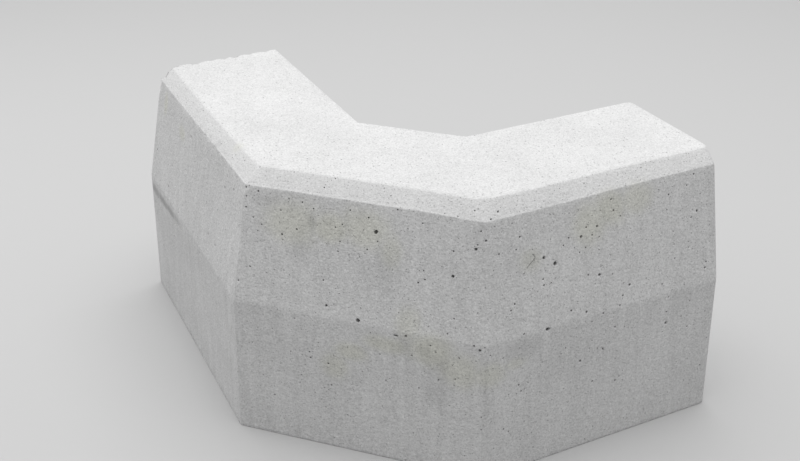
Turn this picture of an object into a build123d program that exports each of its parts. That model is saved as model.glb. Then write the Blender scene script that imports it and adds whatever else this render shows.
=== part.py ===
from build123d import *
import os
from math import cos, radians, sin

# A precast concrete corner kerb, cast in one piece: three short legs of one section, which meet
# in two equal bends. The outer side, which faces the road, is convex in plan.
# All sizes are in millimetres. Z is up, X runs along the middle leg and the road lies towards -Y.
# The origin is the centre of the middle leg's bed.

# Section of every leg, from the plain rear face outwards and from the bed upwards
height = 400.0              # bed to top face
top_width = 185.0           # flat top face, from the rear arris to the chamfer
chamfer_run = 20.0          # chamfer on the outer top arris, outwards
chamfer_drop = 18.0         # chamfer on the outer top arris, downwards
upper_face_drop = 167.0     # battered upper face, from the chamfer down to the break line
upper_face_batter = 36.0    # how far the upper face leans out over that drop
lower_face_batter = 9.0     # how far the nearly upright lower face leans out down to the bed

# Plan, along the foot of the rear face
left_leg = 350.0            # left end to the first bend
middle_leg = 165.0          # first bend to the second bend
right_leg = 285.0           # second bend to the right end
bend_angle = 45.0           # how far each bend turns, in degrees

# Radii of the softened edges. The left end is a joint face, and its edges stay sharp
first_face_radius = 4.0     # upright edge of the first bend, crisp from the mould
first_top_radius = 25.0     # the same bend where the chamfer meets the top face
second_face_radius = 12.0   # upright edge of the second bend, more worn
second_top_radius = 50.0    # the same bend where the chamfer meets the top face
end_radius = 12.0           # both upright edges of the free right end
arris_radius = 3.0          # round the top face, from the chamfer to the rear

bed_width = top_width + chamfer_run + upper_face_batter + lower_face_batter
chamfer_foot = top_width + chamfer_run
chamfer_level = height - chamfer_drop
break_out = chamfer_foot + upper_face_batter
break_level = chamfer_level - upper_face_drop
half_turn = radians(bend_angle) / 2
up = Vector(0, 0, 1)
touching = 0.01             # points closer than this count as one


def rear_corners():
    """The rear foot of the stone in plan: left end, first bend, second bend, right end."""
    rear_y = bed_width / 2
    first_bend = Vector(-middle_leg / 2, rear_y, 0)
    second_bend = Vector(middle_leg / 2, rear_y, 0)
    run = cos(2 * half_turn)
    rise = sin(2 * half_turn)
    left_end = first_bend + Vector(-run, rise, 0) * left_leg
    right_end = second_bend + Vector(run, rise, 0) * right_leg
    return [left_end, first_bend, second_bend, right_end]


def outer_corners(rear, width):
    """The same four corners moved out to a width, with a mitre at each bend."""
    square_left = (rear[1] - rear[0]).normalized().cross(up)
    square_right = (rear[3] - rear[2]).normalized().cross(up)
    mitre = width / cos(half_turn)
    return [
        rear[0] + square_left * width,
        rear[1] + Vector(-sin(half_turn), -cos(half_turn), 0) * mitre,
        rear[2] + Vector(sin(half_turn), -cos(half_turn), 0) * mitre,
        rear[3] + square_right * width,
    ]


def outline(rear, level, width, first_radius, second_radius):
    """The stone's outline in plan at one level, with its corners rounded."""
    outer = outer_corners(rear, width)
    corners = [*rear, *reversed(outer)]
    radii = [0, 0, 0, end_radius, end_radius, second_radius, first_radius, 0]
    return Pos(0, 0, level) * FilletPolyline(*corners, radius=radii, close=True)


def edges_in_order(line, start):
    """The edges of an outline one after another, from the one that leaves the start point."""
    edges = line.order_edges()
    first = [(edge @ 0 - start).length < touching for edge in edges].index(True)
    return edges[first:] + edges[:first]


def side_face(below, above):
    """The side between two edges: a plane between straight ones, a ruled face between arcs."""
    if below.geom_type == GeomType.LINE:
        return Face(Wire.make_polygon([below @ 0, below @ 1, above @ 1, above @ 0]))
    return Face.make_surface_from_curves(below, above)


def stone_body(rear):
    """Bed and top faces, and the sides between the outlines at the four levels of the section."""
    section = [
        (0, bed_width, first_face_radius, second_face_radius),
        (break_level, break_out, first_face_radius, second_face_radius),
        (chamfer_level, chamfer_foot, first_face_radius, second_face_radius),
        (height, top_width, first_top_radius, second_top_radius),
    ]
    rings = []
    for level, width, first_radius, second_radius in section:
        line = outline(rear, level, width, first_radius, second_radius)
        rings.append(edges_in_order(line, rear[0] + up * level))
    faces = [Face(Wire(rings[0])), Face(Wire(rings[-1]))]
    for lower, upper in zip(rings, rings[1:]):
        faces += [side_face(below, above) for below, above in zip(lower, upper)]
    return Solid(Shell(faces)).clean()


def top_arrises(stone, rear):
    """The edges of the top face, without the sharp one at the left joint face."""
    along = (rear[1] - rear[0]).normalized()
    edges = stone.faces().sort_by(Axis.Z)[-1].edges()
    return [edge for edge in edges if (edge.center() - rear[0]).dot(along) > touching]


rear = rear_corners()
stone = stone_body(rear)
stone = fillet(top_arrises(stone, rear), arris_radius)
print("volume in litres", stone.volume / 1e6, "box", stone.bounding_box().size)

os.makedirs("parts", exist_ok=True)
export_step(stone, "parts/kerb_corner_stone.step")
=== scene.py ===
# %% [markdown]
# # A precast concrete corner kerb
# The stone was cast upside down in a smooth steel mould: three short legs that meet in two bends, with a
# chamfer along the outer top arris and two outer faces that lean back by different amounts. What makes it
# look real is not the outline, which is plain, but the skin: a fine grey cement paste with bug holes where
# air bubbles sat against the mould, arrises that lost their sharpness, and faint stains.
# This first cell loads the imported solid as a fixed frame. Everything below is measured against it.

import bpy
import numpy as np
from mathutils import Matrix, Vector


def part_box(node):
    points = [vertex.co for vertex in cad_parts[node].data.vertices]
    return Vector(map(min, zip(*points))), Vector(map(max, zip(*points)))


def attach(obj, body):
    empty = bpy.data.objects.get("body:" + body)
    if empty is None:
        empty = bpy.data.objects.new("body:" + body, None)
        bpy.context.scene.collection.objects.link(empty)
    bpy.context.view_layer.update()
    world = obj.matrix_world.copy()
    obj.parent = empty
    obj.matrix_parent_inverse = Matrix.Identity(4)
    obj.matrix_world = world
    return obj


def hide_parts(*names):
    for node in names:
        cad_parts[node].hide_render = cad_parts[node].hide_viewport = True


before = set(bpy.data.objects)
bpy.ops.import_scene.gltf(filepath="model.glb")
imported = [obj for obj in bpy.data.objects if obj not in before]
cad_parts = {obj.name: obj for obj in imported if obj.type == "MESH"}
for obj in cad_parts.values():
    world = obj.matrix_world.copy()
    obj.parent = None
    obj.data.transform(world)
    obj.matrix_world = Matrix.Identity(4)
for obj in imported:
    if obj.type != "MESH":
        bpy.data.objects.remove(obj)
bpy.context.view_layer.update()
low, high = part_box("kerb_corner_stone")
print("solid from", [round(v, 4) for v in low], "to", [round(v, 4) for v in high])

# %% [markdown]
# ## Sizes
# The same driving sizes as the solid's, in millimetres, because a section is easiest to read in them. One
# factor turns them to Blender's metres when a mesh is made. The section is drawn with `out`, the distance
# outwards from the rear face, and `level`, the height over the bed.

# %% Driving sizes
MM = 0.001
HEIGHT = 400.0
TOP_WIDTH = 185.0
CHAMFER_RUN, CHAMFER_DROP = 20.0, 18.0
UPPER_DROP, UPPER_BATTER = 167.0, 36.0
LOWER_BATTER = 9.0
LEFT_LEG, MIDDLE_LEG, RIGHT_LEG = 350.0, 165.0, 285.0
BEND_ANGLE = 45.0
HALF_TURN = np.radians(BEND_ANGLE) / 2

CHAMFER_FOOT = TOP_WIDTH + CHAMFER_RUN
CHAMFER_LEVEL = HEIGHT - CHAMFER_DROP
BREAK_OUT = CHAMFER_FOOT + UPPER_BATTER
BREAK_LEVEL = CHAMFER_LEVEL - UPPER_DROP
BED_WIDTH = BREAK_OUT + LOWER_BATTER
print("bed", BED_WIDTH, "wide, break line", BREAK_LEVEL, "over the bed")
print("height differs from the solid's by", round(HEIGHT * MM - (high.z - low.z), 6), "m")

# %% [markdown]
# ## Camera
# The photograph is 800 by 461 pixels and was taken with about a 50 mm lens from a little over a metre up,
# from the right of the middle leg and looking down on the stone. The camera's place and its three angles
# are written out, so that any point can be projected into the picture later on: that is how the bug holes,
# chips and stains that the photograph shows find their places on the surface.

# %% Camera
PHOTO_WIDTH, PHOTO_HEIGHT = 800, 461
LENS, SENSOR = 50.0, 36.0
EYE = np.array([481.8, -1271.0, 1054.2])
AZIMUTH, DOWNWARD, ROLL = np.radians([19.77, 29.13, -0.82])

camera_turn = (
    Matrix.Rotation(AZIMUTH, 3, "Z")
    @ Matrix.Rotation(np.pi / 2 - DOWNWARD, 3, "X")
    @ Matrix.Rotation(ROLL, 3, "Z")
)
camera_data = bpy.data.cameras.new("photo_camera")
camera_data.lens = LENS
camera_data.sensor_width = SENSOR
camera_data.sensor_fit = "HORIZONTAL"
camera = bpy.data.objects.new("photo_camera", camera_data)
camera.matrix_world = Matrix.Translation(EYE * MM) @ camera_turn.to_4x4()
bpy.context.scene.collection.objects.link(camera)
bpy.context.scene.camera = camera

RIGHT, UPWARD, BACKWARD = np.array(camera_turn).T
FOCAL = LENS / SENSOR * PHOTO_WIDTH


def to_pixels(points):
    """Where points land in the photograph: their offset from the eye along the image's right and down
    axes, divided by their distance along the view and multiplied by the focal length in pixels."""
    reach = points - EYE
    away = -reach @ BACKWARD
    across = PHOTO_WIDTH / 2 + FOCAL * (reach @ RIGHT) / away
    down = PHOTO_HEIGHT / 2 - FOCAL * (reach @ UPWARD) / away
    return np.stack([across, down], -1)


print("focal length", round(FOCAL, 1), "pixels")

# %% [markdown]
# ## Smooth randomness
# Worn concrete is uneven at every scale. One noise function is enough for all of it: random numbers on a
# cubic lattice, joined smoothly. It reads the point in space, so it matches across every seam of the mesh.

# %% Noise
TABLE_SIZE = 48


def noise(points, size, seed):
    """Smooth random numbers from -1 to 1: the eight values at the corners of a point's lattice cell,
    weighted by 3t^2 - 2t^3 along each axis. size is the cell's edge, one number or one for each axis."""
    table = np.random.default_rng(seed).uniform(-1, 1, (TABLE_SIZE,) * 3)
    place = points / size
    cell = np.floor(place).astype(int)
    part = place - cell
    part = part * part * (3 - 2 * part)
    total = 0.0
    for corner in np.ndindex(2, 2, 2):
        weight = np.prod(np.where(corner, part, 1 - part), axis=-1)
        total = total + weight * table[tuple(((cell + corner) % TABLE_SIZE).T)]
    return total


def rough(points, size, octaves, seed):
    """Several layers of noise, each at half the size and half the strength of the one before."""
    total = 0.0
    for layer in range(octaves):
        total = total + noise(points, size / 2**layer, seed + layer) / 2**layer
    return total / (2 - 2 ** (1 - octaves))


# %% [markdown]
# ## The section as rows
# The mould's section is a closed line of six straight sides. Each corner between two sides becomes a
# small arc, and the line is then divided into rows: close together on the outer faces that the eye rests
# on, wider apart on the top, and widest on the rear and under the stone. Drawn again with its sides moved
# inwards, the same section also gives the rounding at both ends, row for row.

# %% Section
FACE_STEP, CHAMFER_STEP, TOP_STEP, REAR_STEP, BED_STEP = 4.0, 2.9, 4.6, 7.0, 25.0
SIDES = ["rear", "top", "chamfer", "upper face", "lower face", "bed"]
side_steps = [REAR_STEP, TOP_STEP, CHAMFER_STEP, FACE_STEP, FACE_STEP, BED_STEP]
corner_places = np.array(
    [
        (0.0, 0.0),
        (0.0, HEIGHT),
        (TOP_WIDTH, HEIGHT),
        (CHAMFER_FOOT, CHAMFER_LEVEL),
        (BREAK_OUT, BREAK_LEVEL),
        (BED_WIDTH, 0.0),
    ]
)
corner_radii = [0.8, 3.0, 4.0, 3.5, 26.0, 1.2]
corner_pieces = [2, 3, 3, 3, 3, 2]


def crossing(start, along, other_start, other_along):
    """Where two lines cross. The share of the first line is a ratio of two areas: the offset between the
    starts with the second line, over the first line with the second."""
    offset = other_start - start
    share = np.linalg.det([offset, other_along]) / np.linalg.det([along, other_along])
    return start + along * share


def moved_in(places, insets):
    """The section's corners once each side has moved into the stone by its own inset."""
    along = np.roll(places, -1, 0) - places
    inwards = np.stack([along[:, 1], -along[:, 0]], -1) / np.linalg.norm(along, axis=1, keepdims=True)
    starts = places + inwards * np.asarray(insets)[:, None]
    corners = [crossing(starts[k - 1], along[k - 1], starts[k], along[k]) for k in range(len(SIDES))]
    return np.array(corners)


def arc_at(before, corner, after, radius, pieces):
    """An arc that touches both sides of a corner. Its ends lie radius / tan(half the angle) from the
    corner, and its points turn evenly about a centre on the angle's bisector."""
    back = (before - corner) / np.linalg.norm(before - corner)
    on = (after - corner) / np.linalg.norm(after - corner)
    half = np.arccos(np.clip(back @ on, -1, 1)) / 2
    middle = (back + on) / np.linalg.norm(back + on)
    centre = corner + middle * radius / np.sin(half)
    start = corner + back * radius / np.tan(half) - centre
    finish = corner + on * radius / np.tan(half) - centre
    share = np.linspace(0, 1, pieces + 1)[:, None]
    sweep = np.pi - 2 * half
    arms = np.sin((1 - share) * sweep) * start + np.sin(share * sweep) * finish
    return centre + arms / np.sin(sweep)


def section_rows(insets=(0.0,) * len(SIDES), places=corner_places):
    """The section as rows of (out, level), side after side: each corner's arc, then the rest of the side
    that follows it, divided evenly. Every inset gives the same number of rows."""
    corners = moved_in(places, insets)
    count = len(SIDES)
    arcs = [
        arc_at(corners[k - 1], corners[k], corners[(k + 1) % count], corner_radii[k], corner_pieces[k])
        for k in range(count)
    ]
    rows = []
    for k in range(count):
        following = (k + 1) % count
        length = np.linalg.norm(corner_places[following] - corner_places[k])
        share = np.linspace(0, 1, int(length / side_steps[k]) + 1)[1:-1, None]
        rows += [arcs[k], arcs[k][-1] + share * (arcs[following][0] - arcs[k][-1])]
    return np.concatenate(rows), [len(part) for part in rows]


rows, row_counts = section_rows()
print(len(rows), "rows round the section")

# %% [markdown]
# Every row also carries the radius of the two bends at its level, because the bends are crisp on the faces
# and rubbed round at the top. The radius is given once for each corner of the section, and changes evenly
# along the side between two corners. How wide each of the six sides is rounded at the two ends is one number
# for a side.

# %% Numbers carried by the rows
FIRST_FACE, FIRST_TOP, SECOND_FACE, SECOND_TOP = 4.0, 25.0, 12.0, 50.0
REAR_BEND, END_ROUND, TOP_END_ROUND, JOINT_ROUND, FOOT_ROUND = 1.0, 12.0, 5.0, 1.0, 0.8


def along_rows(at_corners):
    """A number for each row: constant round a corner's arc, changing evenly along a side."""
    values = []
    for k in range(len(SIDES)):
        values.append(np.full(row_counts[2 * k], at_corners[k]))
        share = np.linspace(0, 1, row_counts[2 * k + 1] + 2)[1:-1]
        values.append(at_corners[k] + share * (at_corners[(k + 1) % len(SIDES)] - at_corners[k]))
    return np.concatenate(values)


first_radius = along_rows([REAR_BEND, REAR_BEND, FIRST_TOP, FIRST_FACE, FIRST_FACE, FIRST_FACE])
second_radius = along_rows([REAR_BEND, REAR_BEND, SECOND_TOP, SECOND_FACE, SECOND_FACE, SECOND_FACE])
right_rounding = np.array([END_ROUND, TOP_END_ROUND, END_ROUND, END_ROUND, END_ROUND, FOOT_ROUND])
left_rounding = np.full(len(SIDES), JOINT_ROUND)
print("second bend from", second_radius.min(), "to", second_radius.max(), "mm")

# %% [markdown]
# ## The plan as columns
# Each row runs along the stone as a line that bends twice: straight, arc, straight, arc, straight. All rows
# have the same number of columns, so row and column are the two parameters of one surface. At each end the
# last few columns turn the corner with the section that shrinks as it runs out.

# %% Plan
COLUMN_STEP = 4.0
END_PIECES, JOINT_PIECES = 7, 2
FIRST_PIECES, SECOND_PIECES = 3, 6
LEFT_FINE_LENGTH, LEFT_FINE_STEP = 24.0, 2.2
RUN, RISE = np.cos(2 * HALF_TURN), np.sin(2 * HALF_TURN)
HEADINGS = np.array([(RUN, -RISE), (1.0, 0.0), (RUN, RISE)])
OUTWARDS = np.stack([HEADINGS[:, 1], -HEADINGS[:, 0]], -1)
REAR_Y = BED_WIDTH / 2
BEND_CORNERS = np.array([(-MIDDLE_LEG / 2, REAR_Y), (MIDDLE_LEG / 2, REAR_Y)])
LEFT_END = BEND_CORNERS[0] - HEADINGS[0] * LEFT_LEG
RIGHT_END = BEND_CORNERS[1] + HEADINGS[2] * RIGHT_LEG
MITRES = (OUTWARDS[:2] + OUTWARDS[1:]) / (1 + np.cos(2 * HALF_TURN))
EXTRA = BED_WIDTH * np.tan(HALF_TURN)


def straight(start, finish, shares):
    """Points at given shares of the way from start to finish, for every row."""
    return start[:, None] + (finish - start)[:, None] * shares[None, :, None]


def bend(corner, radius, heading, pieces):
    """The inner points of every row's arc at a bend. The arc starts where the straight touches it, radius
    * tan(half the turn) before the corner, and turns round a centre that lies one radius inwards."""
    angles = np.linspace(0, 2 * HALF_TURN, pieces + 1)[1:-1, None]
    inwards = np.array([-heading[1], heading[0]])
    start = corner - heading * (radius * np.tan(HALF_TURN))[:, None]
    arm = heading * np.sin(angles) - inwards * np.cos(angles)
    return (start + inwards * radius[:, None])[:, None] + arm[None] * radius[:, None, None]


def end_turn(rounding, pieces, leg_end, heading, outwards):
    """The columns that turn the corner at an end. They begin the largest radius short of it and lie at
    the sines of even angles. Once a side's own radius r is reached, with t of it used up, that side has
    moved in by r - sqrt(r^2 - t^2)."""
    columns = []
    whole = rounding.max()
    for reach in whole * np.sin(np.linspace(0, np.pi / 2, pieces + 1)):
        used = np.clip(reach - (whole - rounding), 0, rounding)
        section, _ = section_rows(rounding - np.sqrt(rounding**2 - used**2))
        place = leg_end - heading * (whole - reach) + outwards * section[:, :1]
        columns.append(np.column_stack([place, section[:, 1]]))
    return np.stack(columns, 1)


def between_ends(rows):
    """The columns from the left end's turn to the right end's, without the turns themselves."""
    out = rows[:, :1]
    first, second = BEND_CORNERS[0] + MITRES[0] * out, BEND_CORNERS[1] + MITRES[1] * out
    first_cut = (first_radius * np.tan(HALF_TURN))[:, None]
    second_cut = (second_radius * np.tan(HALF_TURN))[:, None]
    start = LEFT_END + OUTWARDS[0] * out + HEADINGS[0] * left_rounding.max()
    finish = RIGHT_END + OUTWARDS[2] * out - HEADINGS[2] * right_rounding.max()
    long = LEFT_LEG + EXTRA
    fine = np.arange(LEFT_FINE_STEP, LEFT_FINE_LENGTH, LEFT_FINE_STEP) / long
    coarse = np.linspace(LEFT_FINE_LENGTH / long, 1, int((long - LEFT_FINE_LENGTH) / COLUMN_STEP))
    middle = np.linspace(0, 1, int((MIDDLE_LEG + 2 * EXTRA) / COLUMN_STEP))
    right = np.linspace(0, 1, int((RIGHT_LEG + EXTRA) / COLUMN_STEP))[:-1]
    plan = [
        straight(start, first - HEADINGS[0] * first_cut, np.concatenate([fine, coarse])),
        bend(first, first_radius, HEADINGS[0], FIRST_PIECES),
        straight(first + HEADINGS[1] * first_cut, second - HEADINGS[1] * second_cut, middle),
        bend(second, second_radius, HEADINGS[1], SECOND_PIECES),
        straight(second + HEADINGS[2] * second_cut, finish, right),
    ]
    plan = np.concatenate(plan, 1)
    level = np.broadcast_to(rows[:, 1, None, None], plan.shape[:2] + (1,))
    return np.concatenate([plan, level], -1)


left_turn = end_turn(left_rounding, JOINT_PIECES, LEFT_END, -HEADINGS[0], OUTWARDS[0])[:, ::-1]
right_turn = end_turn(right_rounding, END_PIECES, RIGHT_END, HEADINGS[2], OUTWARDS[2])
legs = between_ends(rows)
print("legs of", legs.shape[0], "rows by", legs.shape[1], "columns")

# %% [markdown]
# Handling wore the chamfer unevenly. Along the middle leg its upper edge lies a few millimetres further in,
# and round the second bend its lower edge lies a few millimetres further down. Each is drawn by the same
# section with one corner moved along its side, and a point takes its share of that by its place along X.

# %% Worn chamfer
UPPER_EDGE, LOWER_EDGE = 2, 3
UPPER_EDGE_IN, LOWER_EDGE_DOWN = 4.0, 2.4
UPPER_EDGE_SHIFT = np.array([-UPPER_EDGE_IN, 0.0])
LOWER_EDGE_SHIFT = np.array([UPPER_BATTER / UPPER_DROP, -1.0]) * LOWER_EDGE_DOWN
MIDDLE_LEG_PLACE, MIDDLE_LEG_REACH = -30.0, 180.0
SECOND_BEND_PLACE, SECOND_BEND_REACH = 205.0, 80.0


def share_along(points, place, reach):
    """How much of the wear each point gets: exp(-((x - place) / reach)^4)."""
    return np.exp(-(((points[..., 0] - place) / reach) ** 4))


def chamfer_wear(corner, shift, place, reach):
    """How the legs change with one corner of the section moved, times each point's share."""
    places = corner_places.copy()
    places[corner] += shift
    worn_legs = between_ends(section_rows(places=places)[0])
    return share_along(legs, place, reach)[..., None] * (worn_legs - legs)


legs = (
    legs
    + chamfer_wear(UPPER_EDGE, UPPER_EDGE_SHIFT, MIDDLE_LEG_PLACE, MIDDLE_LEG_REACH)
    + chamfer_wear(LOWER_EDGE, LOWER_EDGE_SHIFT, SECOND_BEND_PLACE, SECOND_BEND_REACH)
)
skin = np.concatenate([left_turn, legs, right_turn], 1)
print("surface of", skin.shape[0], "rows by", skin.shape[1], "columns")

# %% [markdown]
# ## Places in the photograph
# A chip or a hole is given by the pixel that shows it. To find it on the stone, the whole surface is
# projected into the picture. Of the points that face the eye, the one nearest to the pixel is taken, and a
# share of a row and of a column makes up the rest of the way.

# %% Places in the photograph


def outward_normals(grid):
    """Each point's direction out of the stone: the cross product of its steps along the rows, which close
    on themselves, and along the columns."""
    down = np.roll(grid, -1, 0) - np.roll(grid, 1, 0)
    across = np.gradient(grid, axis=1)
    normals = np.cross(down, across)
    return normals / np.linalg.norm(normals, axis=-1, keepdims=True)


row_count, column_count = skin.shape[:2]
normals = outward_normals(skin)
pixels = to_pixels(skin)
faces_eye = ((EYE - skin) * normals).sum(-1) > 0


def grid_place(pixel):
    """Row and column, as fractions, of the point that a pixel shows: the nearest projected point, moved by
    the share of a row and of a column that the rest of the way in the picture makes."""
    gaps = np.where(faces_eye, np.linalg.norm(pixels - pixel, axis=-1), np.inf)
    row, column = np.unravel_index(gaps.argmin(), gaps.shape)
    row, column = np.clip(row, 1, row_count - 2), np.clip(column, 1, column_count - 2)
    by_row = (pixels[row + 1, column] - pixels[row - 1, column]) / 2
    by_column = (pixels[row, column + 1] - pixels[row, column - 1]) / 2
    step = np.linalg.solve(np.stack([by_row, by_column], -1), pixel - pixels[row, column])
    return np.array([row, column]) + np.clip(step, -1, 1)


def surface_point(row, column):
    """The surface at a fractional row and column: the four grid points round it, each weighted by how near
    it is."""
    first_row, first_column = min(int(row), row_count - 2), min(int(column), column_count - 2)
    part_row, part_column = row - first_row, column - first_column
    four = skin[first_row : first_row + 2, first_column : first_column + 2]
    pair = four[:, 0] * (1 - part_column) + four[:, 1] * part_column
    return pair[0] * (1 - part_row) + pair[1] * part_row


def shown_point(pixel):
    """The point of the surface that a pixel shows."""
    return surface_point(*grid_place(np.array(pixel)))


print(int(faces_eye.sum()), "of", faces_eye.size, "points face the eye")

# %% [markdown]
# ## Unevenness
# No cast face is dead flat. The mould bulged a little between its ribs, and every arris lost a little of
# its edge when the stone was lifted out: the rear arris of the top and both edges of the chamfer. Knocks
# took more off at a few places, most of all at the joint. All of this moves the surface inwards only, so
# that the stone never grows past the solid.

# %% Unevenness
BULGE, BULGE_SIZE = 0.5, 130.0
RIPPLE, RIPPLE_SIZE = 0.16, 17.0
WEAR, WEAR_SIZE, WEAR_REACH = 0.9, 11.0, 6.0
CHIP_SIZE, CHIP_UNEVENNESS = 4.0, 0.6
ARRISES = slice(1, 4)
CHIPS = [
    # The joint arris, from the chamfer's foot up to the top and along it: pixel, reach and depth in mm
    ((158.5, 88.0), 7.0, 2.2), ((159.5, 81.0), 8.0, 3.4), ((164.0, 74.5), 9.0, 4.5),
    ((169.0, 67.5), 8.0, 3.6), ((175.0, 64.0), 6.0, 2.0), ((194.0, 60.0), 8.0, 3.2),
    ((208.5, 56.5), 5.0, 2.0), ((222.0, 54.0), 6.0, 3.0), ((232.0, 52.5), 8.0, 3.0),
    ((246.0, 50.0), 6.0, 2.0), ((262.0, 46.5), 6.0, 1.6), ((154.5, 160.0), 6.0, 1.8),
    # The chamfer's lower edge on the left leg
    ((199.5, 128.0), 6.0, 1.4), ((204.0, 134.0), 7.0, 2.2), ((208.5, 138.5), 7.0, 2.6),
    ((215.0, 146.0), 8.0, 2.4), ((221.0, 152.5), 6.0, 2.0), ((229.0, 162.0), 5.0, 1.4),
]


def inward_noise(points, size, octaves, seed):
    """Rough noise brought to the range from 0, untouched, to 1, deepest."""
    return 0.5 + 0.5 * np.clip(rough(points, size, octaves, seed), -1, 1)


def bowls(places, points, unevenness):
    """How deep a set of bowls goes at each point: depth * (1 - (distance / reach)^2) within its reach.
    Noise of a few millimetres breaks up the distance by the given unevenness."""
    broken = 1 + unevenness * rough(points, CHIP_SIZE, octaves=2, seed=61)
    deep = np.zeros(len(points))
    for pixel, reach, depth in places:
        distance = np.linalg.norm(points - shown_point(pixel), axis=1) * broken
        deep = np.maximum(deep, depth * (1 - np.clip(distance / reach, 0, 1) ** 2))
    return deep


corner_rows = np.cumsum([0] + row_counts[:-1])[::2] + np.array(row_counts[::2]) // 2
along_section = np.concatenate([[0], np.cumsum(np.linalg.norm(np.diff(rows, axis=0), axis=1))])
from_arris = np.abs(along_section[:, None] - along_section[corner_rows[ARRISES]]).min(1)
flat_points = skin.reshape(-1, 3)
at_arris = np.repeat(np.exp(-((from_arris / WEAR_REACH) ** 2)), column_count)
sunk = BULGE * inward_noise(flat_points, BULGE_SIZE, octaves=2, seed=11)
sunk = sunk + RIPPLE * inward_noise(flat_points, RIPPLE_SIZE, octaves=3, seed=21)
sunk = sunk + WEAR * inward_noise(flat_points, WEAR_SIZE, octaves=3, seed=31) ** 2 * at_arris
sunk = np.maximum(sunk, bowls(CHIPS, flat_points, CHIP_UNEVENNESS))
plain_skin = skin
skin = plain_skin - normals * sunk.reshape(row_count, column_count, 1)
print("deepest chip", round(float(sunk.max()), 2), "mm")

# %% [markdown]
# ## The two ends
# An end is a flat face inside the last column. Rings that shrink towards one point of it fill it with
# cells of even size, and the last ring closes in a fan, so the stone is one closed surface that can hold
# water. The face sinks in a little, like the others, and the chips of its edge run out over the first
# few rings.

# %% End faces
RING_STEP = 9.0
EDGE_SHARES = (0.985, 0.965, 0.94)
END_BULGE, SINKING_SHARE, CHIP_SHARE = 0.8, 0.12, 0.1


def end_rings(edge, plain_edge, outwards):
    """Rings inside an end's edge: each is the plain edge drawn in towards the middle by a share, plus a
    part of what wear and chips took off the edge. That part falls evenly to nothing."""
    middle = plain_edge.mean(0)
    count = int(np.linalg.norm(plain_edge - middle, axis=1).min() / RING_STEP)
    shares = np.concatenate([EDGE_SHARES, np.linspace(1, 0, count + 1)[1:]])[:, None, None]
    rings = middle + (plain_edge - middle) * shares
    rings = rings + (edge - plain_edge) * np.clip(1 - (1 - shares) / CHIP_SHARE, 0, 1)
    sunk = END_BULGE * inward_noise(rings.reshape(-1, 3), BULGE_SIZE / 2, octaves=3, seed=71)
    sunk = sunk.reshape(rings.shape[:2]) * np.clip((1 - shares[..., 0]) / SINKING_SHARE, 0, 1)
    rings = rings - sunk[..., None] * np.append(outwards, 0.0)
    return rings[:-1], rings[-1, 0]


left_rings, left_middle = end_rings(skin[:, 0], plain_skin[:, 0], -HEADINGS[0])
right_rings, right_middle = end_rings(skin[:, -1], plain_skin[:, -1], HEADINGS[2])
print(len(left_rings), "rings in each end")


def grid_quads(numbers):
    """Four-sided faces between neighbouring rows and columns of a grid of vertex numbers whose rows close
    on themselves, wound so that they face outwards."""
    following = np.roll(numbers, -1, 0)
    corners = [numbers[:, :-1], following[:, :-1], following[:, 1:], numbers[:, 1:]]
    return np.stack(corners, -1).reshape(-1, 4)


parts = [skin.reshape(-1, 3), left_rings.reshape(-1, 3), right_rings.reshape(-1, 3)]
points = np.concatenate([*parts, [left_middle, right_middle]])
numbers = np.split(np.arange(len(points)), np.cumsum([len(part) for part in parts]))
skin_numbers = numbers[0].reshape(row_count, column_count)
left_numbers, right_numbers = (part.reshape(-1, row_count) for part in numbers[1:3])
left_middle_number, right_middle_number = numbers[3]
skin_quads = grid_quads(skin_numbers)
end_quads = np.concatenate(
    [
        grid_quads(np.vstack([left_numbers[::-1], skin_numbers[:, 0]]).T),
        grid_quads(np.vstack([skin_numbers[:, -1], right_numbers]).T),
    ]
)
last_left, last_right = left_numbers[-1], right_numbers[-1]
fans = np.concatenate(
    [
        np.stack([np.roll(last_left, -1), last_left, np.full(row_count, left_middle_number)], -1),
        np.stack([last_right, np.roll(last_right, -1), np.full(row_count, right_middle_number)], -1),
    ]
)
print(len(points), "points,", 2 * (len(skin_quads) + len(end_quads)) + len(fans), "triangles")

# %% [markdown]
# ## Bug holes
# Air bubbles that clung to the mould left round holes with dark insides. The larger ones stand where the
# photograph shows them, grouped here by their radius in millimetres. Two of them, where bubbles met, are
# wider than they are high.

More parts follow.
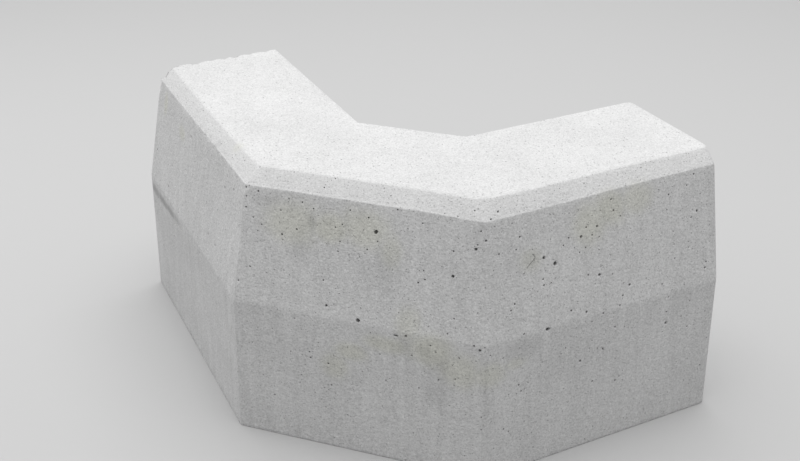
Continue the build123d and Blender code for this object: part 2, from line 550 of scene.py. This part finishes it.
# %% Bug holes in the photograph
SEEN_HOLES = {
    3.0: [(375.7, 232.3), (357.7, 321.3), (555.5, 263.7)],
    2.6: [(548.2, 329.4)],
    2.2: [
        (475.8, 249.6), (452.7, 276.6), (479.7, 351.0), (544.2, 258.0), (666.0, 323.0), (581.4, 236.8),
        (599.8, 274.8), (157.3, 149.5), (224.5, 187.5), (233.3, 189.4), (168.2, 186.2),
    ],
    1.9: [
        (326.0, 305.7), (597.4, 226.2), (602.9, 348.9), (586.6, 312.1), (697.2, 210.7), (405.6, 336.5),
        (580.6, 361.1), (629.9, 284.8), (206.2, 202.2), (156.5, 202.4), (174.1, 236.2), (199.0, 253.0),
        (178.0, 213.0), (214.5, 245.2), (207.5, 233.7), (190.7, 136.7), (182.4, 205.4),
    ],
    1.6: [
        (486.3, 241.0), (473.8, 346.2), (296.5, 229.2), (281.8, 234.5), (615.2, 326.9), (571.6, 310.7),
        (603.5, 313.3), (623.2, 295.5), (518.9, 385.2), (615.2, 380.4), (258.1, 191.2), (620.3, 305.7),
        (592.5, 381.3), (524.4, 334.4), (328.3, 363.7), (184.5, 147.6), (172.8, 115.7), (172.2, 166.7),
        (184.9, 169.9), (175.0, 223.5), (310.4, 357.7), (668.9, 194.7), (705.2, 267.5), (395.5, 335.8),
    ],
    1.4: [
        (430.4, 345.8), (459.0, 358.5), (521.3, 391.3), (274.7, 394.7), (438.6, 380.2), (481.0, 417.7),
        (481.0, 430.0), (503.7, 429.3), (508.7, 431.7), (700.0, 365.0), (453.4, 251.3), (499.5, 254.4),
        (498.1, 211.5), (491.1, 219.0), (519.9, 237.2), (568.9, 238.1), (563.7, 245.6), (424.6, 279.8),
        (418.0, 283.0), (515.1, 304.2), (511.4, 310.8), (543.4, 279.4), (544.3, 285.3), (592.4, 234.9),
        (620.4, 216.1), (611.4, 199.2), (588.5, 275.1), (613.7, 210.4), (586.5, 227.4), (245.8, 187.0),
        (245.8, 207.0), (368.4, 217.8), (323.1, 280.3), (249.8, 266.5), (309.3, 352.0), (301.4, 375.0),
        (238.3, 280.3), (331.4, 385.2), (691.4, 217.3), (706.2, 261.6), (666.6, 312.0), (681.4, 316.3),
        (687.1, 326.5), (694.1, 174.1), (668.7, 297.2), (662.4, 284.4),
    ],
    1.2: [
        (474.6, 210.4), (481.0, 231.5), (477.4, 245.1), (516.4, 249.9), (456.1, 271.4), (551.4, 283.1),
        (599.4, 236.8), (579.9, 252.5), (585.9, 247.7), (599.4, 249.7), (612.6, 274.2), (484.8, 348.2),
        (490.6, 355.8), (503.3, 358.4), (455.1, 379.4), (565.8, 348.2), (561.4, 354.2), (597.7, 348.5),
        (528.2, 382.6), (619.2, 376.2), (447.2, 334.1), (453.9, 319.1), (435.7, 352.6), (288.9, 199.0),
        (280.6, 210.3), (261.5, 224.5), (257.6, 230.9), (313.4, 208.8), (335.4, 178.2), (324.2, 187.4),
        (222.2, 123.1), (269.7, 152.0), (584.7, 231.0), (245.8, 196.0), (252.8, 217.1), (302.3, 202.4),
        (342.0, 224.6), (335.2, 227.4), (366.9, 249.6), (337.8, 251.6), (423.5, 271.0), (252.3, 342.4),
        (290.6, 351.4), (294.2, 318.4), (422.6, 223.4), (397.5, 209.4), (350.2, 210.4), (339.7, 241.7),
        (377.3, 241.7), (379.9, 354.5), (411.8, 355.8), (418.8, 388.3), (385.6, 380.7), (687.1, 185.3),
        (667.3, 209.8), (675.0, 258.5), (690.1, 300.6), (662.6, 332.0),
    ],
}
WIDE_HOLES = {(395.5, 335.8): 2.4, (548.2, 329.4): 1.4}
seen_holes = [
    (*grid_place(np.array(pixel)), radius, WIDE_HOLES.get(pixel, 1.0))
    for radius, places in SEEN_HOLES.items()
    for pixel in places
]
print(len(seen_holes), "holes read from the photograph")

# %% [markdown]
# The same mould made the sides that the photograph doesn't show, so they get holes of the same kind, strewn
# at random: as many on every stretch of the section, with many small ones and few large ones, as a power
# law gives.

# %% Bug holes elsewhere
LARGEST, SMALLEST, POWER = 3.2, 1.2, 3.0
STREWN, STREWN_SEED, END_MARGIN = 400, 7, 4
generator = np.random.default_rng(STREWN_SEED)
spread = generator.uniform(0, 1, (STREWN, 3))
strewn_rows = np.interp(spread[:, 0] * along_section[-1], along_section, np.arange(row_count))
strewn_columns = END_MARGIN + spread[:, 1] * (column_count - 1 - 2 * END_MARGIN)
strewn_radii = SMALLEST * (1 - spread[:, 2] * (1 - (SMALLEST / LARGEST) ** POWER)) ** (-1 / POWER)
hidden = ~faces_eye[strewn_rows.astype(int), strewn_columns.astype(int)]
strewn_holes = np.column_stack([strewn_rows, strewn_columns, strewn_radii, np.ones(STREWN)])[hidden]
print(len(strewn_holes), "more out of sight")

# %% [markdown]
# A hole is sewn into the surface. A block of cells round it is taken out, and rings of points lead from the
# block's edge to the lip, down the wall and to the bottom. Each ring is given by its shares of the radius
# and of the depth, and has one point for each point of the block's edge, in the same direction, so the rings
# join up without a twist. A hole that would overlap another, or the edge of the grid, is left out.

# %% Sew the holes in
HOLE_RINGS = np.array([(1.3, 0.0), (1.02, 0.06), (0.84, 0.6), (0.5, 0.95)])
HOLE_DEPTH, OUT_OF_ROUND, MARGIN = 1.45, 0.16, 1.4
row_gap = np.linalg.norm(np.roll(skin, -1, 0) - skin, axis=-1)
column_steps = np.gradient(skin, axis=1)
column_gap = np.linalg.norm(column_steps, axis=-1)
cell_free = np.ones((row_count, column_count - 1), bool)
hole_points, hole_depths, hole_quads, hole_fans = [], [], [], []
next_number = len(points)


def block_edge(first_row, last_row, first_column, last_column):
    """Rows and columns of the points round a block of cells, once round against the clock from outside."""
    down, across = np.arange(first_row, last_row), np.arange(first_column, last_column)
    first_side, far_side = np.full_like(down, first_column), np.full_like(down, last_column)
    near_end, far_end = np.full_like(across, first_row), np.full_like(across, last_row)
    edge_rows = np.concatenate([down, far_end, down[::-1] + 1, near_end])
    edge_columns = np.concatenate([first_side, across, far_side, across[::-1] + 1])
    return edge_rows, edge_columns


for row, column, radius, wideness in [*seen_holes, *strewn_holes]:
    nearest = int(row), int(column)
    half_rows = MARGIN * radius / row_gap[nearest]
    half_columns = MARGIN * radius * wideness / column_gap[nearest]
    first_row, last_row = int(row - half_rows), int(np.ceil(row + half_rows))
    first_column, last_column = int(column - half_columns), int(np.ceil(column + half_columns))
    block = slice(first_row, last_row), slice(first_column, last_column)
    off_the_ends = first_column > 0 and last_column < column_count - 1
    off_the_seam = first_row > 0 and last_row < row_count - 1
    if not (off_the_ends and off_the_seam and cell_free[block].all()):
        continue
    cell_free[block] = False
    edge = block_edge(first_row, last_row, first_column, last_column)
    centre = surface_point(row, column)
    arms = skin[edge] - centre
    arms = arms / np.linalg.norm(arms, axis=1, keepdims=True)
    level_way = column_steps[nearest] / column_gap[nearest]
    arms = arms + (wideness - 1) * (arms @ level_way)[:, None] * level_way
    uneven = 1 + OUT_OF_ROUND * generator.uniform(-1, 1, len(arms))
    downwards = -normals[nearest] * radius * HOLE_DEPTH
    rings = centre + HOLE_RINGS[:, 0, None, None] * radius * arms * uneven[:, None]
    rings = rings + HOLE_RINGS[:, 1, None, None] * downwards
    numbers = next_number + np.arange(rings.shape[0] * len(arms)).reshape(rings.shape[:2])
    loops = np.vstack([skin_numbers[edge], numbers])
    turned = np.roll(loops, -1, 1)
    hole_quads.append(np.stack([loops[:-1], turned[:-1], turned[1:], loops[1:]], -1).reshape(-1, 4))
    bottom = numbers[-1, -1] + 1
    hole_fans.append(np.stack([loops[-1], turned[-1], np.full(len(arms), bottom)], -1))
    hole_points += [rings.reshape(-1, 3), centre[None] + downwards]
    hole_depths += [np.repeat(HOLE_RINGS[:, 1], len(arms)), np.ones(1)]
    next_number = bottom + 1

depth_in_hole = np.concatenate([np.zeros(len(points)), *hole_depths])
points = np.concatenate([points, *hole_points])
quads = np.concatenate([skin_quads[cell_free.reshape(-1)], end_quads, *hole_quads])
fans = np.concatenate([fans, *hole_fans])
print(len(hole_fans), "holes sewn in,", 2 * len(quads) + len(fans), "triangles in all")

# %% [markdown]
# ## Stains, dark patches and painted shade
# Curing water left faint olive patches on the faces, and the break line carries darker, damp ones. Each is
# an ellipse on the surface, given by its middle in the photograph, its real half sizes along the level and
# up the face, and its strength. Noise frays its outline. The strongest one that covers a point is stored
# with it as a number, which the material reads. The chamfer also gets painted shade in that number: a shade
# darker all along, and a little more so where it is worn wider and lies flatter.

# %% Stains
OLIVE_PATCHES = [
    ((293, 223), 44, 30, 0.9), ((330, 229), 30, 20, 1.0), ((365, 229), 34, 27, 0.9),
    ((391, 250), 15, 24, 0.7),
    ((590, 224), 28, 28, 0.9), ((611, 208), 28, 24, 1.0), ((636, 199), 28, 22, 0.8),
    ((531, 260), 17, 17, 0.6),
    ((335, 366), 21, 22, 0.8), ((350, 352), 26, 15, 0.9), ((386, 345), 34, 13, 0.9),
    ((408, 325), 19, 28, 0.7),
    ((430, 350), 34, 26, 1.0), ((460, 372), 30, 27, 0.9), ((490, 376), 26, 19, 0.8),
    ((515, 364), 18, 9, 0.6),
    ((182, 133), 18, 12, 0.8), ((237, 147), 10, 9, 0.5), ((166, 104), 9, 20, 0.9),
]
DARK_PATCHES = [
    ((523, 349), 26, 18, 0.12), ((405, 346), 9, 20, 0.10), ((437, 370), 16, 20, 0.10),
    ((424, 352), 10, 12, 0.10), ((312, 221), 6, 12, 0.18), ((300, 247), 12, 30, 0.10),
    ((533, 258), 12, 14, 0.10), ((436, 395), 14, 26, 0.10), ((385, 268), 22, 34, 0.08),
    ((586, 252), 8, 34, 0.08), ((262, 199), 22, 12, 0.10),
    # The smear along the break line at the joint, and the line where the second bend begins
    ((156, 191), 30, 9, 0.34), ((163, 201), 34, 8, 0.40), ((170, 211), 30, 7, 0.36),
    ((176, 219), 24, 6, 0.22),
    ((482, 226), 2.5, 22, 0.12), ((486, 390), 2.5, 60, 0.08),
]
FRAY, FRAY_SIZE = 0.45, 22.0
# Painted shade on the chamfer: how much darker it is all along, and how much more where it is worn flatter.
CHAMFER_PAINTED_SHADE, WORN_CHAMFER_PAINTED_SHADE = 0.035, 0.055


def patches(places, seed):
    """How strongly the patches cover each point: for each, strength * exp(-(d / size)^4), where d is the
    distance along the level and up the face, each over its half size, and frayed by noise."""
    frayed = 1 + FRAY * rough(points, FRAY_SIZE, octaves=3, seed=seed)
    cover = np.zeros(len(points))
    for pixel, wide, high, strength in places:
        reach = points - shown_point(pixel)
        level, rise = np.linalg.norm(reach[:, :2], axis=1) / wide, reach[:, 2] / high
        cover = np.maximum(cover, strength * np.exp(-(((level**2 + rise**2) * frayed) ** 2)))
    return cover


olive_cover = patches(OLIVE_PATCHES, seed=41)
dark_patch_and_chamfer_shade = patches(DARK_PATCHES, seed=51)
row_side = np.repeat(np.repeat(SIDES, 2), row_counts)
chamfer_numbers = skin_numbers[row_side == "chamfer"]
worn = share_along(points[chamfer_numbers], MIDDLE_LEG_PLACE, MIDDLE_LEG_REACH)
# Painted shade: the chamfer is darkened all along, and more where its wear left it flatter and brighter
# under the lamps.
dark_patch_and_chamfer_shade[chamfer_numbers] += CHAMFER_PAINTED_SHADE + WORN_CHAMFER_PAINTED_SHADE * worn
print("olive on", round(float((olive_cover > 0.5).mean()), 3), "of the points")

# %% [markdown]
# ## Make the mesh
# The points and faces go into the mesh as whole arrays. The outer faces of such a stone are flat only from
# afar, so every face is shaded smooth: the arcs at the arrises carry the turn from face to face.

# %% Mesh


def make_piece(name, points, quads, triangles):
    """A mesh object from arrays: points in millimetres, and faces of four and three vertex numbers."""
    mesh = bpy.data.meshes.new(name)
    mesh.vertices.add(len(points))
    mesh.vertices.foreach_set("co", (points * MM).astype(np.float32).ravel())
    corners = np.concatenate([quads.ravel(), triangles.ravel()]).astype(np.int32)
    starts = np.concatenate(
        [np.arange(len(quads)) * 4, quads.size + np.arange(len(triangles)) * 3]
    ).astype(np.int32)
    mesh.loops.add(len(corners))
    mesh.loops.foreach_set("vertex_index", corners)
    mesh.polygons.add(len(starts))
    mesh.polygons.foreach_set("loop_start", starts)
    mesh.update(calc_edges=True)
    mesh.validate()
    mesh.polygons.foreach_set("use_smooth", np.ones(len(starts), dtype=bool))
    piece = bpy.data.objects.new(name, mesh)
    bpy.context.scene.collection.objects.link(piece)
    return piece


def store(piece, name, values):
    """Stores a number for each point of a piece, which a material can read by name."""
    layer = piece.data.attributes.new(name, "FLOAT", "POINT")
    layer.data.foreach_set("value", values.astype(np.float32))


stone = make_piece("corner_kerb", points, quads, fans)
store(stone, "hole_depth", depth_in_hole)
store(stone, "olive_stain", olive_cover)
store(stone, "dark_patch_and_painted_shade", dark_patch_and_chamfer_shade)
print(stone.name, len(stone.data.polygons), "faces")

# %% [markdown]
# ## Material helpers
# Colours are written as sRGB hex values, as a colour picker shows them, and one function makes them linear.
# Two more add a node with its settings and links, and a sum or product. The last two start a material and
# darken a tone.

# %% Material helpers


def linear(hex_colour):
    """An sRGB hex colour as linear red, green, blue and alpha, by the two pieces of the sRGB curve."""
    parts = np.array([int(hex_colour[k : k + 2], 16) for k in (1, 3, 5)]) / 255
    low = parts / 12.92
    high = ((parts + 0.055) / 1.055) ** 2.4
    return (*np.where(parts <= 0.04045, low, high), 1.0)


def add_node(tree, kind, settings=None, **inputs):
    """Adds a node. Settings go to its properties, and each input is a value or another node's socket."""
    node = tree.nodes.new(kind)
    for name, value in (settings or {}).items():
        setattr(node, name, value)
    for name, value in inputs.items():
        key = int(name[1:]) if name[0] == "_" else name.replace("_", " ")
        socket = node.inputs[key]
        if isinstance(value, bpy.types.NodeSocket):
            tree.links.new(value, socket)
        else:
            socket.default_value = value
    return node


def computed(tree, operation, first, second):
    """The outcome of a Math node, such as a sum or a product."""
    return add_node(tree, "ShaderNodeMath", {"operation": operation}, _0=first, _1=second).outputs[0]


def new_material(name):
    """An empty material and its Principled shader, which is linked to the output."""
    material = bpy.data.materials.new(name)
    material.use_nodes = True
    tree = material.node_tree
    tree.nodes.clear()
    output = tree.nodes.new("ShaderNodeOutputMaterial")
    shader = tree.nodes.new("ShaderNodeBsdfPrincipled")
    tree.links.new(shader.outputs["BSDF"], output.inputs["Surface"])
    return material, tree, shader


def darkened(tree, tone, cover, darkness):
    """The tone times 1 - darkness * cover."""
    kept = computed(tree, "ADD", computed(tree, "MULTIPLY", cover, -darkness), 1.0)
    return computed(tree, "MULTIPLY", tone, kept)


print("white is", linear("#FFFFFF"))

# %% [markdown]
# ## Cast concrete
# A fine grey cement paste, cast against a smooth steel mould: matt, with a roughness near 0.9, and with
# none of its coarser stone on show. Its colour is one grey whose lightness wanders at four sizes: clouds as
# wide as a hand, mottles as wide as a thumb, blotches of a few millimetres, and grains of sand at about two
# millimetres. The first step adds them up into one number, the tone, that the grey is multiplied by.

# %% Concrete: tone
concrete, tree, shader = new_material("cast_concrete_steel_mould")
place, facing = (add_node(tree, "ShaderNodeTexCoord").outputs[name] for name in ("Object", "Normal"))
CLOUD, MOTTLE, BLOTCH, GRAIN = 110.0, 24.0, 6.0, 2.2
TONES = {CLOUD: 0.10, MOTTLE: 0.045, BLOTCH: 0.06, GRAIN: 0.33}


def tone_layer(tree, coordinates, size, weight, detail=3.0):
    """Noise of one size in millimetres. Blender's noise stays mostly between 0.25 and 0.75, so taking
    0.5 away and doubling it spans the weight, with half of it below zero and half above."""
    scale = 1 / (size * MM)
    fog = add_node(tree, "ShaderNodeTexNoise", Vector=coordinates, Scale=scale, Detail=detail)
    centred = computed(tree, "SUBTRACT", fog.outputs[0], 0.5)
    return computed(tree, "MULTIPLY", centred, weight * 2)


tone = 1.0
for size, weight in TONES.items():
    tone = computed(tree, "ADD", tone, tone_layer(tree, place, size, weight))
print(len(tree.nodes), "nodes for the tone")

# %% [markdown]
# Water that ran down the faces left streaks that are narrow across and long from top to bottom. A Mapping
# node stretches the noise upwards. The faces also show their sand more than the top does. The upward part of
# the surface's direction, which is 1 on the top and 0 on an upright face, keeps both off the top and most of
# the chamfer.

# %% Concrete: faces
STREAK_WIDE, STREAK_HIGH, STREAK_WEIGHT = 12.0, 150.0, 0.11
SAND, SAND_WEIGHT = 3.4, 0.26
UPRIGHT, LEVEL = 0.3, 0.8
upward = add_node(tree, "ShaderNodeSeparateXYZ", Vector=facing).outputs["Z"]
on_faces = add_node(
    tree, "ShaderNodeMapRange", Value=upward, From_Min=UPRIGHT, From_Max=LEVEL, To_Min=1.0, To_Max=0.0
)
stretched = add_node(tree, "ShaderNodeMapping", Vector=place, Scale=(1, 1, STREAK_WIDE / STREAK_HIGH))
streaks = tone_layer(tree, stretched.outputs[0], STREAK_WIDE, STREAK_WEIGHT)
sand = tone_layer(tree, place, SAND, SAND_WEIGHT)
masked = computed(tree, "MULTIPLY", computed(tree, "ADD", streaks, sand), on_faces.outputs[0])
tone = computed(tree, "ADD", tone, masked)
print(len(tree.nodes), "nodes with the streaks and the sand")

# %% [markdown]
# Pores too small to model are spheres strewn through the whole stone by a Voronoi texture: where the face
# cuts through one, a dark dot shows, and since the cuts fall anywhere, no two dots are the same size. The
# radius and the spacing, both in millimetres, together set how many there are on a face. Each dot is
# painted shade that stands for the pore's shaded inside, and is darkest within a share of its radius.

# %% Concrete: pores
PORES = {4.6: (0.95, 0.36), 11.5: (1.35, 0.48)}
DARKEST_SHARE = 0.35
pore_depths = []
for spacing, (radius, darkness) in PORES.items():
    cells = add_node(tree, "ShaderNodeTexVoronoi", Vector=place, Scale=1 / (spacing * MM))
    pore = add_node(
        tree,
        "ShaderNodeMapRange",
        {"interpolation_type": "SMOOTHSTEP"},
        Value=cells.outputs["Distance"],
        From_Min=DARKEST_SHARE * radius / spacing,
        From_Max=radius / spacing,
        To_Min=1.0,
        To_Max=0.0,
    )
    pore_depths.append((pore.outputs[0], radius))
    # The pore's dark dot is painted shade.
    tone = darkened(tree, tone, pore.outputs[0], darkness)
print(len(tree.nodes), "nodes with the pores")

# %% [markdown]
# A hairline crack about two centimetres long starts beside the second bend. It is a line of short straight
# stretches between points that the photograph shows, and it darkens the surface within a millimetre of one
# of them. The nearest point of a stretch lies at the share of it that the dot product gives.

# %% Concrete: crack
CRACK = [(527.1, 268.0), (530.7, 263.5), (533.3, 260.6), (535.4, 257.2), (532.9, 254.4)]
CRACK_REACH, CRACK_DARKNESS = 1.0, 0.7


def distance_to_stretch(tree, place, start, along):
    """How far a place is from a straight stretch: from the place to start + along * share, where share is
    (place - start) . along / |along|^2, kept between 0 and 1."""
    kind = "ShaderNodeVectorMath"
    offset = add_node(tree, kind, {"operation": "SUBTRACT"}, _0=place, _1=start).outputs[0]
    share = add_node(tree, kind, {"operation": "DOT_PRODUCT"}, _0=offset, _1=along / (along @ along))
    share = add_node(tree, "ShaderNodeClamp", Value=share.outputs["Value"])
    foot = add_node(tree, kind, {"operation": "SCALE"}, _0=along, Scale=share.outputs[0]).outputs[0]
    return add_node(tree, kind, {"operation": "DISTANCE"}, _0=offset, _1=foot).outputs["Value"]


crack_points = [shown_point(pixel) * MM for pixel in CRACK]
crack_distance = 1.0
for start, finish in zip(crack_points, crack_points[1:]):
    stretch = distance_to_stretch(tree, place, start, finish - start)
    crack_distance = computed(tree, "MINIMUM", crack_distance, stretch)
crack = add_node(
    tree,
    "ShaderNodeMapRange",
    Value=crack_distance,
    From_Min=0.0,
    From_Max=CRACK_REACH * MM,
    To_Min=1.0,
    To_Max=0.0,
)
tone = darkened(tree, tone, crack.outputs[0], CRACK_DARKNESS)
crack_length = np.linalg.norm(np.diff(crack_points, axis=0), axis=1).sum() / MM
print("crack", round(float(crack_length), 1), "mm long")

# %% [markdown]
# Dust and shade make a bug hole darker than its depth alone would. The stored depth does that, and the
# stored patches, with the chamfer's painted shade, darken the face, and the olive stain tints it.

# %% Concrete: colour
GREY, OLIVE = "#CACACA", "#C7C7C0"
DARKNESS = {"hole_depth": 0.86, "dark_patch_and_painted_shade": 1.0}
for name, darkness in DARKNESS.items():
    cover = add_node(tree, "ShaderNodeAttribute", {"attribute_name": name}).outputs["Fac"]
    tone = darkened(tree, tone, cover, darkness)
olive = add_node(tree, "ShaderNodeAttribute", {"attribute_name": "olive_stain"}).outputs["Fac"]
paste = add_node(tree, "ShaderNodeMix", {"data_type": "RGBA"}, _0=olive, _6=linear(GREY), _7=linear(OLIVE))
colour = add_node(tree, "ShaderNodeVectorMath", {"operation": "SCALE"}, _0=paste.outputs[2], Scale=tone)
tree.links.new(colour.outputs[0], shader.inputs["Base Color"])
print(len(tree.nodes), "nodes with the colour")

# %% [markdown]
# The bump has the same pores as pits, as deep as half their radius, the sand grain as a fine tooth, and a
# swell of a few millimetres. Its heights are real ones, in metres, so the Bump node's own distance and
# strength stay at 1.

# %% Concrete: bump and roughness
TOOTH, SWELL = 2.6, 7.0
HEIGHTS = {TOOTH: 0.40, SWELL: 0.40}
reliefs = [tone_layer(tree, place, size, height * MM) for size, height in HEIGHTS.items()]
reliefs += [computed(tree, "MULTIPLY", pore, -radius * MM / 2) for pore, radius in pore_depths]
relief_height = 0.0
for relief in reliefs:
    relief_height = computed(tree, "ADD", relief_height, relief)
bump = add_node(tree, "ShaderNodeBump", Height=relief_height, Strength=1.0, Distance=1.0)
tree.links.new(bump.outputs[0], shader.inputs["Normal"])

POLISHED, MATT = 0.82, 0.97
sheen_noise = add_node(tree, "ShaderNodeTexNoise", Vector=place, Scale=1 / (MOTTLE * MM), Detail=4.0)
roughness = add_node(tree, "ShaderNodeMapRange", Value=sheen_noise.outputs[0], To_Min=POLISHED, To_Max=MATT)
tree.links.new(roughness.outputs[0], shader.inputs["Roughness"])
stone.data.materials.append(concrete)
print(len(tree.nodes), "nodes in the concrete")

# %% [markdown]
# ## Floor
# A plain pale floor takes the shadow. Outdoors, under an overcast sky, little light comes back from below,
# and that is why the sides of the real stone look so much darker than its top. So the floor is pale where
# the camera sees it, and darker to the light that bounces off it.

# %% Floor
FLOOR_SIZE = 40000.0
FLOOR_SEEN, FLOOR_BOUNCE = "#BDBDBD", "#8A8A8A"
floor_corners = np.array([(-1, -1, 0), (1, -1, 0), (1, 1, 0), (-1, 1, 0)]) * FLOOR_SIZE / 2
floor = make_piece("floor", floor_corners, np.array([[0, 1, 2, 3]]), np.zeros((0, 3), int))
floor_paint, floor_tree, floor_shader = new_material("matt_floor_paint")
floor_path = add_node(floor_tree, "ShaderNodeLightPath").outputs
floor_colour = add_node(
    floor_tree,
    "ShaderNodeMix",
    {"data_type": "RGBA"},
    _0=floor_path["Is Camera Ray"],
    _6=linear(FLOOR_BOUNCE),
    _7=linear(FLOOR_SEEN),
)
floor_tree.links.new(floor_colour.outputs[2], floor_shader.inputs["Base Color"])
floor_shader.inputs["Roughness"].default_value = 1.0
floor.data.materials.append(floor_paint)
print("floor", FLOOR_SIZE * MM, "m wide")

# %% [markdown]
# ## Light and background
# A soft lamp above and slightly behind the stone lights its top, and a second one on the left makes the
# left leg a little brighter than the two others. A pale world fills in the rest, and is plain white to the
# camera.

# %% Lamps and world


def soft_lamp(name, place, aim, size, level):
    """A round lamp that faces a point. A lamp of power P lights a matt white surface that faces it from a
    distance d at P / (pi^2 * d^2), so its power is worked out from the level that is wanted there."""
    data = bpy.data.lights.new(name, "AREA")
    data.shape = "DISK"
    data.size = size
    reach = Vector(place) - Vector(aim)
    data.energy = level * np.pi**2 * reach.length_squared
    lamp = bpy.data.objects.new(name, data)
    lamp.location = place
    lamp.rotation_euler = reach.to_track_quat("Z", "Y").to_euler()
    bpy.context.scene.collection.objects.link(lamp)
    print(name, round(data.energy, 1), "W")


WORLD_FILL = 0.79
soft_lamp("overhead_softbox", (0.0, 0.5, 3.2), (0, 0, 0.3), 3.0, 0.68)
soft_lamp("left_softbox", (-2.6, -0.1, 1.5), (-0.2, 0, 0.25), 1.6, 0.14)

world = bpy.data.worlds.new("studio")
world.use_nodes = True
bpy.context.scene.world = world
world_tree = world.node_tree
world_tree.nodes.clear()
path = add_node(world_tree, "ShaderNodeLightPath").outputs
seen = computed(world_tree, "MAXIMUM", path["Is Camera Ray"], path["Is Glossy Ray"])
seen = computed(world_tree, "MAXIMUM", seen, path["Is Transmission Ray"])
strength = add_node(world_tree, "ShaderNodeMapRange", Value=seen, To_Min=WORLD_FILL, To_Max=1.0)
sky = add_node(world_tree, "ShaderNodeBackground", Color=(1, 1, 1, 1), Strength=strength.outputs["Result"])
add_node(world_tree, "ShaderNodeOutputWorld", Surface=sky.outputs[0])
bpy.context.scene.view_settings.view_transform = "Standard"
print("world fill", WORLD_FILL)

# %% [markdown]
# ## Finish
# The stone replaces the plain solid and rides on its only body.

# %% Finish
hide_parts("kerb_corner_stone")
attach(stone, "root")
